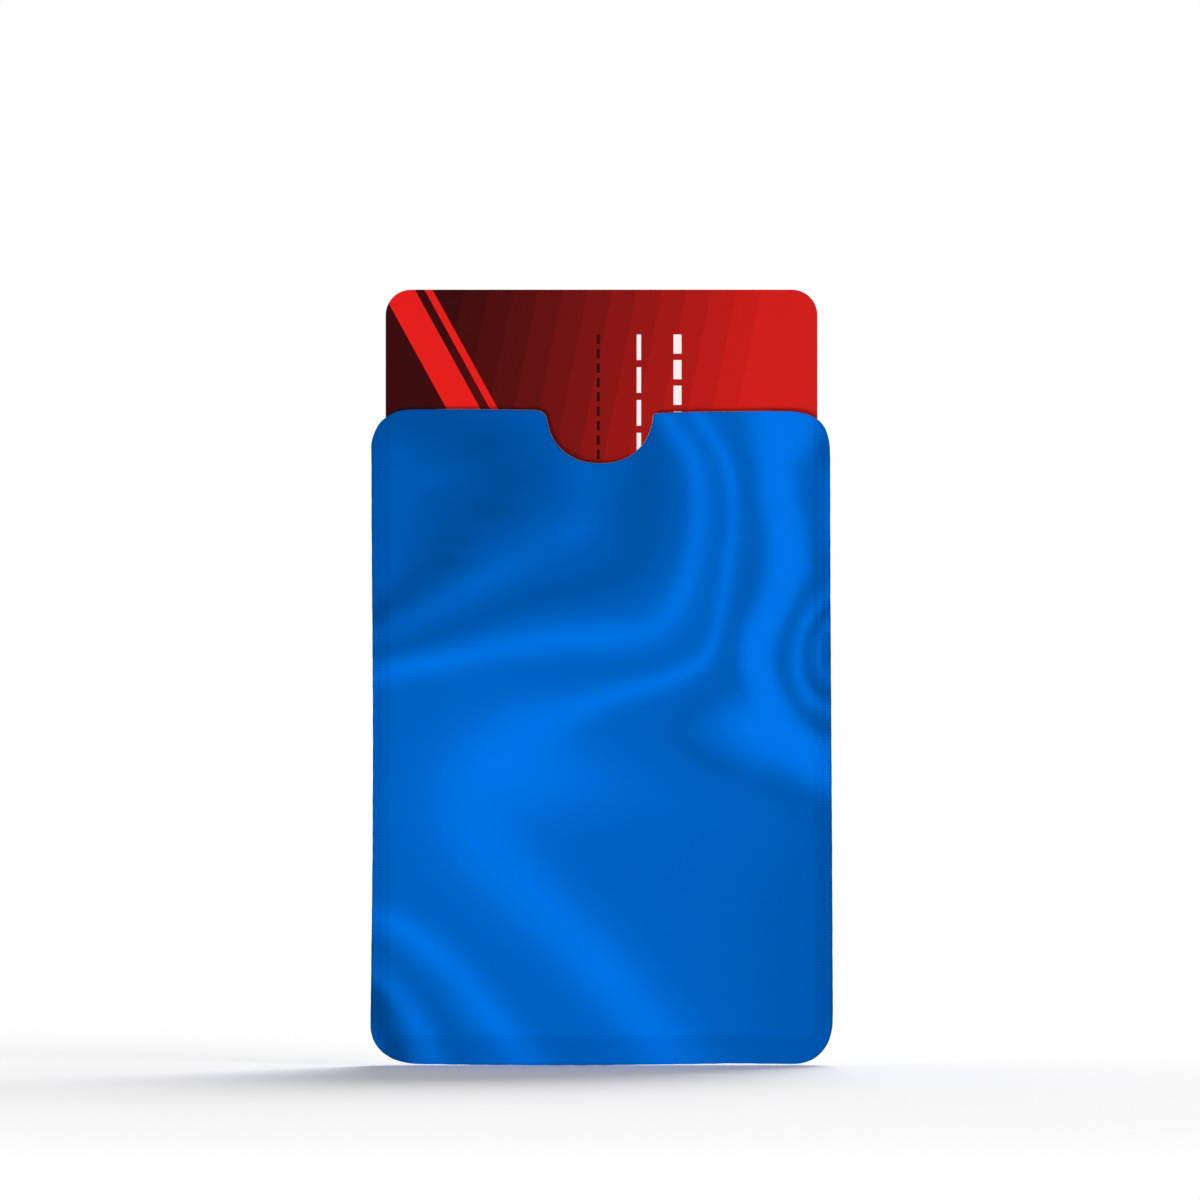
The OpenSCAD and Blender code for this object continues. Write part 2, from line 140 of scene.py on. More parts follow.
# Painted reflection: the soft light and dark waves that the metallic film's gentle ripples
# reflect, painted into its colour as airbrush strokes in the order they are laid down on an even
# base. The front's slight real relief follows the same field. Each is (lights or shades, power of
# its falloff, points). Each point is (x, z, half width, level), with the level from 0 dark to 1
# bright.
WAVE_BASE = 0.54
SHEEN_WAVES = [
    # Broad shade of the upper left, and its darkest band
    ("shade", 2, [(-30, 31, 11, 0.36), (-10, 33, 9, 0.34), (3, 29, 6.5, 0.32)]),
    ("shade", 2, [(-28, 15.2, 1.2, 0.22), (-24, 18.7, 2, 0.21), (-20.4, 22.8, 3.1, 0.23),
                  (-17.6, 27, 4.2, 0.23), (-13, 31.5, 4.2, 0.22), (-15, 36.5, 4.4, 0.21),
                  (-22, 39.4, 3.2, 0.22), (-30, 40.5, 2.4, 0.26)]),
    # Paler left edge above it
    ("light", 2, [(-29.5, 35.5, 2, 0.38), (-28.5, 31.2, 4.2, 0.45), (-29, 26, 2.5, 0.43),
                  (-29.2, 21.5, 1.8, 0.48), (-29.4, 18, 1, 0.42)]),
    ("light", 2, [(-25, 32, 1.6, 0.43), (-21, 32.4, 1.2, 0.38), (-16, 33.4, 0.9, 0.28)]),
    # Darker flecks along the band
    ("shade", 2, [(-19.5, 36.2, 1.1, 0.28), (-15, 36.4, 1.2, 0.15), (-11.4, 36.7, 1.1, 0.24)]),
    ("shade", 2, [(-15.5, 31.2, 1, 0.25), (-12, 32, 1.2, 0.17), (-9, 32.6, 1.1, 0.24)]),
    ("shade", 2, [(-18.5, 28.2, 0.9, 0.27), (-14, 28.5, 1, 0.14), (-10, 28.6, 0.9, 0.26)]),
    ("shade", 2, [(-22, 24.3, 0.6, 0.3), (-18.8, 24.5, 0.7, 0.18), (-15.4, 24.9, 0.6, 0.27)]),
    ("shade", 2, [(-22, 21.8, 0.9, 0.27), (-19.6, 22, 0.9, 0.14), (-17, 22.2, 0.8, 0.27)]),
    # Feather that rises to the notch, and its brighter spots
    ("light", 2, [(-29.5, 12.2, 0.9, 0.47), (-26, 13.3, 1, 0.5), (-22, 15.3, 1.1, 0.51),
                  (-17, 17.9, 1.3, 0.52), (-12.5, 20.4, 1.7, 0.52), (-7, 23.4, 2.4, 0.5),
                  (-2.4, 27.2, 2.9, 0.5), (-1.4, 31, 3, 0.5), (-1.3, 34.5, 3, 0.51),
                  (-1.4, 38, 2.6, 0.48)]),
    ("light", 2, [(-21, 16, 0.8, 0.52), (-14.2, 19.8, 1, 0.6), (-9, 22.4, 1, 0.52)]),
    ("light", 2, [(-6.6, 25, 1, 0.5), (-3, 25.8, 1.3, 0.59), (0.2, 26.6, 1, 0.46)]),
    # Shade inside the first ridge
    ("shade", 2, [(5.8, 38, 2, 0.29), (6, 32, 2.2, 0.29), (5.2, 26, 2.5, 0.3),
                  (3.4, 21.5, 2.6, 0.31), (-2, 19, 2.3, 0.32), (-8, 17.7, 1.9, 0.32),
                  (-12, 16.2, 1.6, 0.34), (-18, 13.9, 1.3, 0.35), (-24, 11.7, 1, 0.36),
                  (-29.5, 10.3, 0.9, 0.4)]),
    # Even ground between the ridges, and the soft inner skirt of the first ridge
    ("light", 2, [(12, 39.5, 1, 0.56), (14.2, 34, 1.2, 0.54), (14.3, 28, 1.2, 0.54),
                  (13.9, 21, 1.2, 0.54), (12.6, 14.5, 1.3, 0.55), (9.5, 10.8, 1.2, 0.53),
                  (4, 9.6, 1.2, 0.53), (-2, 9.2, 1.2, 0.53), (-8, 8.2, 1.3, 0.53),
                  (-16, 7, 1.5, 0.56), (-24, 5.6, 1.8, 0.54)]),
    ("light", 2, [(9.2, 36, 1.2, 0.36), (10.2, 31, 1.4, 0.38), (10, 26, 1.6, 0.4),
                  (8.9, 21, 1.8, 0.43), (5.8, 16.4, 1.7, 0.45), (0, 15, 1.2, 0.41),
                  (-8, 13.8, 1, 0.36), (-14, 12.4, 0.8, 0.36)]),
    # First ridge
    ("light", 2, [(-30, 7.2, 1.2, 0.72), (-27, 7.9, 1.3, 0.8), (-24, 8.6, 1.3, 0.85),
                  (-20, 9.3, 1.3, 0.89), (-16, 10.2, 1.45, 0.86), (-12, 11.1, 1.55, 0.85),
                  (-6, 12.1, 1.65, 0.87), (0, 12.4, 1.7, 0.89), (4, 12.8, 1.65, 0.85),
                  (7, 13.8, 1.7, 0.84), (9, 15.9, 1.6, 0.86), (10.6, 19.3, 1.45, 0.85),
                  (11.7, 23.5, 1.3, 0.83), (12.2, 28, 1.25, 0.83), (12.1, 32, 1.25, 0.83),
                  (11.1, 35.4, 1.2, 0.82), (9.3, 38.2, 1.15, 0.8), (7.4, 41.2, 1.1, 0.76)]),
    # Second ridge
    ("light", 2, [(10.6, 42, 0.95, 0.8), (12.4, 39.7, 0.95, 0.82), (14.2, 37.2, 0.95, 0.83),
                  (15.7, 34, 0.9, 0.84), (16.4, 30, 0.85, 0.83), (16.4, 26, 0.85, 0.81),
                  (15.9, 22, 0.85, 0.84), (15.3, 18, 0.85, 0.81), (14.6, 14, 0.8, 0.81),
                  (13.7, 11.2, 0.85, 0.84), (12, 9, 1, 0.87), (9, 7.5, 1.15, 0.87),
                  (6, 6.4, 1.2, 0.87), (2.6, 5.5, 1.35, 0.87), (-1.2, 4.2, 1.7, 0.88),
                  (-5, 2.6, 2.3, 0.88), (-9, 0.8, 2.7, 0.9)]),
    # Valley that runs down beside the second ridge and out under the toe of the right band
    ("shade", 2, [(16.2, 41.5, 0.9, 0.49), (17.2, 38, 1, 0.48), (18.3, 34, 1, 0.49),
                  (18.7, 30, 1, 0.49), (19.1, 26, 1.1, 0.49), (19, 22, 1.2, 0.46),
                  (18.2, 18, 1.1, 0.45), (17, 14, 1.1, 0.47), (16.5, 9.5, 1.2, 0.44),
                  (15.4, 6.2, 1.5, 0.45), (12, 3.6, 1.8, 0.44), (9.6, 1.4, 1.8, 0.45),
                  (10.6, -1, 1.5, 0.44), (13.6, -3, 1.4, 0.42), (18, -4.9, 1.5, 0.44),
                  (22, -6.6, 1.7, 0.43), (26, -9, 2.2, 0.42), (30, -11.6, 2.8, 0.42)]),
    # Shade of the lower right
    ("shade", 2, [(27, -16, 6, 0.43), (25, -25, 8, 0.43), (26, -38, 8, 0.43)]),
    # Broad sweep across the middle, and its lobe
    ("light", 2, [(-9, -4, 5.5, 0.86), (-4, -5, 4.5, 0.8), (0, -6, 3.8, 0.73), (4, -7, 3, 0.65),
                  (8, -8, 2.6, 0.59)]),
    ("light", 2, [(-8, 0.3, 2.7, 0.9), (-12.5, -3.2, 4.9, 0.93), (-15.2, -6.5, 6, 0.9),
                  (-15.6, -10, 5.5, 0.89), (-13.9, -14, 4.8, 0.89), (-10.7, -18, 4.2, 0.89),
                  (-7.8, -21, 3.9, 0.89), (-4.6, -24.2, 3.7, 0.88), (-1.6, -27.2, 3.6, 0.9),
                  (1.1, -30.2, 3.5, 0.91), (3.7, -33.4, 3.5, 0.87), (6.1, -36.4, 3.5, 0.87),
                  (8.6, -40, 3.6, 0.85), (11, -43, 3.6, 0.8)]),
    # Right band, and its toe
    ("light", 2.2, [(14, 1.8, 1.5, 0.62), (16, 1.5, 2.2, 0.79), (18, 1.4, 2.8, 0.9),
                    (20.5, 0, 3, 0.93)]),
    ("light", 3.6, [(23, 43, 4.6, 0.93), (22.7, 38.7, 4.1, 0.93), (21.9, 35, 2.5, 0.93),
                    (22.1, 31, 2.3, 0.93), (22.8, 27, 2.4, 0.92), (23.3, 23, 2.6, 0.93),
                    (22.9, 19, 2.6, 0.92), (21.3, 15.6, 2.2, 0.92), (19.75, 12.4, 2.15, 0.93),
                    (19.45, 9.4, 2.05, 0.93), (20.5, 6, 2.1, 0.93), (21.4, 3, 2.7, 0.93),
                    (23.2, 0.4, 2.9, 0.93), (26, -2.2, 3, 0.93), (31, -5.2, 3, 0.9)]),
    # Wedge beside the right band, and the painted highlight at the edge
    ("shade", 2, [(29.2, 36.9, 1.2, 0.44), (27.7, 35.3, 1, 0.44), (26.8, 32.5, 0.9, 0.5),
                  (26.4, 29.5, 0.9, 0.48), (26.7, 26, 0.7, 0.52), (27, 22, 0.8, 0.44)]),
    ("light", 2, [(29.4, 34, 0.8, 0.6), (28.8, 31.5, 0.9, 0.74), (28.6, 27, 0.9, 0.74),
                  (28.9, 23.5, 0.8, 0.62)]),
    # Ripples that leave the right edge
    ("shade", 2, [(29, 21.2, 0.8, 0.53), (26.9, 19.4, 1.1, 0.44), (24.1, 15, 0.8, 0.5),
                  (22.8, 10.5, 0.8, 0.5), (23, 7.5, 0.8, 0.5), (24.2, 4.8, 0.9, 0.54),
                  (26.4, 2, 1, 0.43), (29.5, 0.8, 1, 0.46)]),
    ("light", 2, [(29.6, 19, 0.9, 0.74), (27.6, 16.9, 0.75, 0.76), (25.7, 14.4, 0.75, 0.82),
                  (24.7, 11.5, 0.7, 0.81), (24.6, 8.4, 0.7, 0.82), (25.6, 5.7, 0.75, 0.79),
                  (27.3, 3.9, 0.75, 0.78), (29.5, 3, 0.8, 0.72)]),
    ("shade", 2, [(29.3, 16.6, 0.7, 0.4), (27.4, 14.7, 0.55, 0.39), (26.1, 12.6, 0.5, 0.42),
                  (25.8, 10, 0.5, 0.43), (26.1, 7.4, 0.5, 0.38), (27.3, 5.9, 0.6, 0.34),
                  (29.3, 5, 0.6, 0.36)]),
    ("light", 2, [(29.3, 14.8, 0.6, 0.66), (28, 13.4, 0.55, 0.7), (27.2, 11.4, 0.5, 0.72),
                  (27.1, 9.6, 0.5, 0.74), (27.7, 8, 0.5, 0.7), (28.6, 7.2, 0.5, 0.66)]),
    ("shade", 2, [(28.9, 11.4, 0.8, 0.43), (28.8, 9.8, 0.8, 0.41)]),
    # Shades and ridges of the lower left corner
    ("shade", 2, [(-30, -25.9, 0.9, 0.43), (-26, -27.4, 1, 0.44), (-22.8, -30.8, 1.2, 0.46),
                  (-20.6, -33.6, 1.2, 0.45), (-19, -36.4, 1.3, 0.43), (-17.4, -40, 1.4, 0.43)]),
    ("shade", 2.6, [(-30, -31, 1.7, 0.13), (-28.4, -33, 1.8, 0.12), (-27.1, -36, 1.7, 0.14),
                    (-26.1, -38.8, 1.6, 0.1), (-25.5, -42, 1.6, 0.1)]),
    ("light", 2, [(-30, -22.3, 1.3, 0.74), (-28, -22.5, 1.5, 0.77), (-25, -23.8, 1.6, 0.86),
                  (-21.4, -26.4, 1.8, 0.88), (-17.8, -29.8, 1.9, 0.85), (-15.3, -33, 1.9, 0.88),
                  (-12.8, -36, 1.9, 0.87), (-10.5, -39, 2, 0.83), (-8.5, -42, 2, 0.78)]),
    ("light", 2, [(-30, -28.6, 0.8, 0.56), (-26.8, -30.8, 1, 0.66), (-24.6, -33.2, 1.05, 0.71),
                  (-23, -36, 1.1, 0.77), (-21.6, -39, 1.1, 0.74), (-20.6, -42, 1.1, 0.7)]),
]
# Straight pieces between two points of a stroke, and the grid that the waves are painted on
STROKE_PIECES = 8
WAVE_STEP = 0.25
WAVE_MARGIN = 1.5
# Keeps a place on the grid's last line inside its last cell
LAST_CELL = 1.001


# The wave field
def smooth_line(points):
    """Catmull-Rom curve through rows of numbers, cut into short straight pieces."""
    rows = np.array(points, float)
    rows = np.vstack([2 * rows[0] - rows[1], rows, 2 * rows[-1] - rows[-2]])
    t = np.linspace(0, 1, STROKE_PIECES, endpoint=False)[:, None]
    spans = []
    for a, b, c, d in zip(rows[:-3], rows[1:-2], rows[2:-1], rows[3:]):
        curve = 2 * b + (c - a) * t + (2 * a - 5 * b + 4 * c - d) * t**2
        spans.append((curve + (3 * b - a - 3 * c + d) * t**3) / 2)
    return np.vstack(spans + [rows[-2:-1]])


def stroke(x, z, points, power):
    """How much of a stroke lies at each place, and the level of the nearest part of it.

    The amount is 1 on the stroke's line, a half at its half width, and 0 far away.
    """
    line = smooth_line(points)
    reach = np.full(x.shape, np.inf)
    level = np.zeros(x.shape)
    for a, b in zip(line[:-1], line[1:]):
        along = b[:2] - a[:2]
        t = ((x - a[0]) * along[0] + (z - a[1]) * along[1]) / (along @ along)
        t = np.clip(t, 0, 1)
        away = np.hypot(x - a[0] - t * along[0], z - a[1] - t * along[1])
        away /= a[2] + t * (b[2] - a[2])
        nearer = away < reach
        reach = np.where(nearer, away, reach)
        level = np.where(nearer, a[3] + t * (b[3] - a[3]), level)
    return np.exp(-math.log(2) * reach**power), level


def paint_waves():
    """The field of painted reflection on an even grid that covers the sleeve."""
    xs = np.arange(-HALF_W - WAVE_MARGIN, HALF_W + WAVE_MARGIN, WAVE_STEP)
    zs = np.arange(BOTTOM_Z - WAVE_MARGIN, MOUTH_Z + WAVE_MARGIN, WAVE_STEP)
    x, z = np.meshgrid(xs, zs)
    field = np.full(x.shape, WAVE_BASE)
    for kind, power, points in SHEEN_WAVES:
        amount, level = stroke(x, z, points, power)
        pick = np.maximum if kind == "light" else np.minimum
        field += (pick(field, level) - field) * amount
    return xs, zs, field


WAVE_XS, WAVE_ZS, WAVE_LEVEL = paint_waves()


def sheen_wave(x, z):
    """The field of painted reflection and relief at any points, read between the grid's own."""
    i = np.clip((x - WAVE_XS[0]) / WAVE_STEP, 0, len(WAVE_XS) - LAST_CELL)
    j = np.clip((z - WAVE_ZS[0]) / WAVE_STEP, 0, len(WAVE_ZS) - LAST_CELL)
    i0, j0 = i.astype(int), j.astype(int)
    s, t = i - i0, j - j0
    low = WAVE_LEVEL[j0, i0] * (1 - s) + WAVE_LEVEL[j0, i0 + 1] * s
    high = WAVE_LEVEL[j0 + 1, i0] * (1 - s) + WAVE_LEVEL[j0 + 1, i0 + 1] * s
    return low * (1 - t) + high * t


# The shape of the front laminate
def smoothstep(t):
    t = np.clip(t, 0, 1)
    return t * t * (3 - 2 * t)


def fold(t):
    """An even slope from 0 to 1 with both of its ends eased."""
    t = np.clip(t, 0, 1)
    ends = np.minimum(t, 1 - t)
    half = np.where(ends < FOLD_EASE, ends**2 / (2 * FOLD_EASE), ends - FOLD_EASE / 2)
    half /= 1 - FOLD_EASE
    return np.where(t < 0.5, half, 1 - half)


def formed_depth(x, z):
    """Depth of the front lining's outer face: flat on the weld, folded up over the card."""
    side = np.abs(x)
    rise = fold((WELD_X - side) / (WELD_X - ROOF_X)) * fold((z - WELD_Z) / (ROOF_Z - WELD_Z))
    inner = smoothstep(np.minimum(ROOF_X - side, z - ROOF_Z) / RELIEF_FADE)
    proud = RELIEF * (sheen_wave(x, z) - RELIEF_LEVEL)
    return SEAL_U + LINING_T + rise * (ROOF_U - SEAL_U) + inner * proud


def formed(offset):
    """A face of the front laminate, offset along the normal from the lining's outer face."""
    reach = 0.02

    def place(x, z):
        slope_x = (formed_depth(x + reach, z) - formed_depth(x - reach, z)) / (2 * reach)
        slope_z = (formed_depth(x, z + reach) - formed_depth(x, z - reach)) / (2 * reach)
        size = np.sqrt(1 + slope_x**2 + slope_z**2)
        return (
            x - slope_x / size * offset,
            formed_depth(x, z) + offset / size,
            z - slope_z / size * offset,
        )

    return place


def flat(depth):
    """A flat face at one depth."""

    def place(x, z):
        return x, np.full(x.shape, depth), z

    return place


# The cut outline
def along_line(points, at):
    places, offsets = zip(*points)
    return np.interp(at, places, offsets)


def mouth_edge(x):
    return MOUTH_Z + along_line(MOUTH_END, x)


def bottom_edge(x):
    return BOTTOM_Z + along_line(BOTTOM_END, x)


def side_edge(side, z):
    return side * (HALF_W + along_line(RIGHT_SIDE if side > 0 else LEFT_SIDE, z))


def corner_curve(name, side, end_edge, up):
    """A rounded corner from its end edge to its side edge. up is 1 at the mouth."""
    run, rise, power = CORNERS[name]
    angle = np.linspace(0, math.pi / 2, CORNER_POINTS)
    in_from_side = run * (1 - np.sin(angle) ** (2 / power))
    in_from_end = rise * (1 - np.cos(angle) ** (2 / power))
    z = end_edge(side * (HALF_W - in_from_side)) - up * in_from_end
    return np.column_stack([side_edge(side, z) - side * in_from_side, z])


def end_line(start, finish, edge):
    """The cut along an end, between two places in x and without them."""
    x = np.linspace(start, finish, END_POINTS)[1:-1]
    return np.column_stack([x, edge(x)])


def side_line(start, finish, side):
    """The cut along a side, between two places in z and without them."""
    z = np.linspace(start, finish, SIDE_POINTS)[1:-1]
    return np.column_stack([side_edge(side, z), z])


def notch_curve():
    """The thumb notch with its two lips, from the right lip down and up to the left one."""
    power = 2 / NOTCH_POWER
    angle = np.linspace(0, math.pi / 2, NOTCH_POINTS)
    run, drop = np.cos(angle) ** power, np.sin(angle) ** power
    out_x, out_z = np.cos(angle) ** (2 - power), np.sin(angle) ** (2 - power)
    size = np.hypot(out_x, out_z)
    out_x, out_z = out_x / size, out_z / size
    halves = []
    for side, lip_r in ((1, RIGHT_LIP_R), (-1, LEFT_LIP_R)):
        x = NOTCH_X + side * NOTCH_R * run
        z = MOUTH_Z - NOTCH_DROP - NOTCH_R * drop
        # Where a circle that rolls down the wall also touches the mouth's edge
        edge_z = mouth_edge(side * (NOTCH_R + lip_r))
        k = int(np.argmin(np.abs(z - lip_r * out_z - (edge_z - lip_r))))
        centre = np.array([x[k] + side * lip_r * out_x[k], z[k] - lip_r * out_z[k]])
        turn = np.linspace(math.pi / 2, math.atan2(out_z[k], -side * out_x[k]), LIP_POINTS)
        lip = centre + lip_r * np.column_stack([np.cos(turn), np.sin(turn)])
        halves.append(np.vstack([lip, np.column_stack([x[k + 1:], z[k + 1:]])]))
    right, left = halves
    return np.vstack([right, left[::-1][1:]])


def resample(loop, step):
    """Points at even steps round a closed loop."""
    closed = np.vstack([loop, loop[:1]])
    lengths = np.hypot(*np.diff(closed, axis=0).T)
    walked = np.concatenate([[0], np.cumsum(lengths)])
    marks = np.linspace(0, walked[-1], int(walked[-1] / step), endpoint=False)
    return np.column_stack([np.interp(marks, walked, closed[:, k]) for k in range(2)])


def outward(loop):
    """Unit normals that point out of an anticlockwise loop."""
    along = np.roll(loop, -1, axis=0) - np.roll(loop, 1, axis=0)
    along /= np.hypot(*along.T)[:, None]
    return np.column_stack([along[:, 1], -along[:, 0]])


def inset(loop, distance):
    return loop - outward(loop) * np.broadcast_to(distance, len(loop))[:, None]


def cut_outline(notched):
    """The sleeve's outline, anticlockwise from the front, with the slight wander of its cut."""
    top_left = corner_curve("top_left", -1, mouth_edge, 1)
    bottom_left = corner_curve("bottom_left", -1, bottom_edge, -1)[::-1]
    bottom_right = corner_curve("bottom_right", 1, bottom_edge, -1)
    top_right = corner_curve("top_right", 1, mouth_edge, 1)[::-1]
    pieces = [
        top_left,
        side_line(top_left[-1, 1], bottom_left[0, 1], -1),
        bottom_left,
        end_line(bottom_left[-1, 0], bottom_right[0, 0], bottom_edge),
        bottom_right,
        side_line(bottom_right[-1, 1], top_right[0, 1], 1),
        top_right,
    ]
    if notched:
        notch = notch_curve()
        pieces.append(end_line(top_right[-1, 0], notch[0, 0], mouth_edge))
        pieces.append(notch)
        pieces.append(end_line(notch[-1, 0], top_left[0, 0], mouth_edge))
    else:
        pieces.append(end_line(top_right[-1, 0], top_left[0, 0], mouth_edge))
    loop = resample(np.vstack(pieces), OUTLINE_STEP)
    x, z = loop.T
    wander = sum(np.sin(by_x * x + by_z * z + start) for by_x, by_z, start in CUT_WAVES)
    return inset(loop, CUT_WANDER * wander)


def clip(loop, axis, limit, keep):
    """The part of a loop on one side of a straight cut across X or Z.

    keep is 1 for the part above the limit and -1 for the part below it.
    """
    kept = []
    for a, b in zip(loop, np.roll(loop, -1, axis=0)):
        a_in = keep * (a[axis] - limit) >= 0
        b_in = keep * (b[axis] - limit) >= 0
        if a_in:
            kept.append(a)
        if a_in != b_in:
            kept.append(a + (b - a) * (limit - a[axis]) / (b[axis] - a[axis]))
    loop = np.array(kept)
    gap = np.hypot(*(loop - np.roll(loop, 1, axis=0)).T)
    return loop[gap > SAME_PLACE]


def over_pocket(outline):
    """The part of the outline that lies inside the three welds."""
    return clip(between_welds(outline), Z, WELD_Z, 1)


def between_welds(outline):
    """The part of the outline that lies inside the two side welds."""
    return clip(clip(outline, X, -WELD_X, 1), X, WELD_X, -1)


# Meshes
def add_object(name, data):
    made = bpy.data.objects.new(name, data)
    bpy.context.scene.collection.objects.link(made)
    return made


def inside(loop, points):
    """Whether each point lies inside a loop."""
    x, z = points.T
    count = np.zeros(len(points), int)
    for a, b in zip(loop, np.roll(loop, -1, axis=0)):
        if a[1] == b[1]:
            continue
        crosses = (a[1] > z) != (b[1] > z)
        count += crosses & (x < (b[0] - a[0]) * (z - a[1]) / (b[1] - a[1]) + a[0])
    return count % 2 == 1


def crossed(xs, zs):
    """Every crossing of two sets of lines."""
    return np.array(np.meshgrid(xs, zs)).reshape(2, -1).T


def formed_grid(step):
    """Grid points for the formed front, close together where it folds."""
    # Steps across a fold and along it, and how far the fine steps reach past its ends
    fine, along, clear = 0.1, 0.3, 0.12
    side_fold = np.arange(ROOF_X - clear, WELD_X + clear + fine, fine)
    floor_fold = np.arange(WELD_Z - clear, ROOF_Z + clear + fine, fine)
    xs = np.arange(-side_fold[0] + step / 2, side_fold[0] - step / 3, step)
    zs = np.arange(floor_fold[-1] + step / 2, MOUTH_Z, step)
    sides = np.concatenate([-side_fold[::-1], side_fold])
    return np.vstack([
        crossed(xs, zs),
        crossed(sides, np.arange(floor_fold[-1] + along, MOUTH_Z, along)),
        crossed(np.arange(-side_fold[0] + along, side_fold[0] - along / 3, along), floor_fold),
        crossed(sides, floor_fold),
        crossed(xs, np.arange(BOTTOM_Z, floor_fold[0] - fine, along)),
    ])


def even_grid(step):
    return crossed(np.arange(-HALF_W, HALF_W, step), np.arange(BOTTOM_Z, MOUTH_Z, step))


def fill(loop, grid, margin):
    """Triangles over a loop and the grid points inside it. The loop's points come first."""
    only_inside, same_place = 1, 1e-5
    points = grid[inside(loop, grid)]
    near = kdtree.KDTree(len(loop))
    for i, (x, z) in enumerate(loop):
        near.insert((x, z, 0), i)
    near.balance()
    points = np.array([p for p in points if near.find((p[0], p[1], 0))[2] > margin]).reshape(-1, 2)
    every = np.vstack([loop, points])
    ring = list(range(len(loop)))
    made = delaunay_2d_cdt([Vector(p) for p in every], [], [ring], only_inside, same_place)
    order = np.array([source[0] for source in made[3]])
    triangles = order[np.array(made[2])]
    a, b, c = (every[triangles[:, k]] for k in range(3))
    area = (b[:, 0] - a[:, 0]) * (c[:, 1] - a[:, 1]) - (b[:, 1] - a[:, 1]) * (c[:, 0] - a[:, 0])
    triangles[area < 0] = triangles[area < 0][:, ::-1]
    return every, triangles


def sheet(name, loop, front, back, front_grid, back_grid, round_r, colour_by=None):
    """A closed sheet between two faces, with its cut edge rounded."""
    rim = inset(loop, round_r)
    front_points, front_faces = fill(rim, front_grid, RIM_MARGIN)
    back_points, back_faces = fill(rim, back_grid, RIM_MARGIN)
    edge_front = np.array(front(*loop.T))
    edge_back = np.array(back(*loop.T))
    edge = (edge_front + edge_back) / 2
    places = np.hstack([np.array(front(*front_points.T)), edge, np.array(back(*back_points.T))])
    count = len(loop)
    edge_at = len(front_points)
    back_at = edge_at + count
    here = np.arange(count)
    after = (here + 1) % count
    walls = [
        np.column_stack([here, here + edge_at, after + edge_at, after]),
        np.column_stack([here + edge_at, here + back_at, after + back_at, after + edge_at]),
    ]
    faces = [list(map(int, f)) for f in np.vstack([front_faces, back_faces[:, ::-1] + back_at])]
    faces += [list(map(int, f)) for f in np.vstack(walls)]
    x, u, z = places
    mesh = bpy.data.meshes.new(name)
    mesh.from_pydata((np.column_stack([x, -u, z]) * MM).tolist(), [], faces)
    mesh.polygons.foreach_set("use_smooth", [True] * len(faces))
    mesh.set_sharp_from_angle(angle=SHARP_EDGE)
    if colour_by is not None:
        # The painted reflection of the waves, which the film's colour reads
        attribute = mesh.attributes.new("sheen_wave", "FLOAT", "POINT")
        attribute.data.foreach_set("value", colour_by(x, z).astype(np.float32))
        on_rim = np.zeros(len(x), np.float32)
        on_rim[here] = on_rim[here + edge_at] = on_rim[here + back_at] = 1
        attribute = mesh.attributes.new("rim", "FLOAT", "POINT")
        attribute.data.foreach_set("value", on_rim)
    mesh.update()
    return add_object(name, mesh)


# Materials
def srgb(red, green, blue):
    """A colour given as 0 to 255, as the linear colour that a shader takes, by sRGB's own curve."""
    values = [v / 255 for v in (red, green, blue)]
    linear = [v / 12.92 if v <= 0.04045 else ((v + 0.055) / 1.055) ** 2.4 for v in values]
    return (*linear, 1)


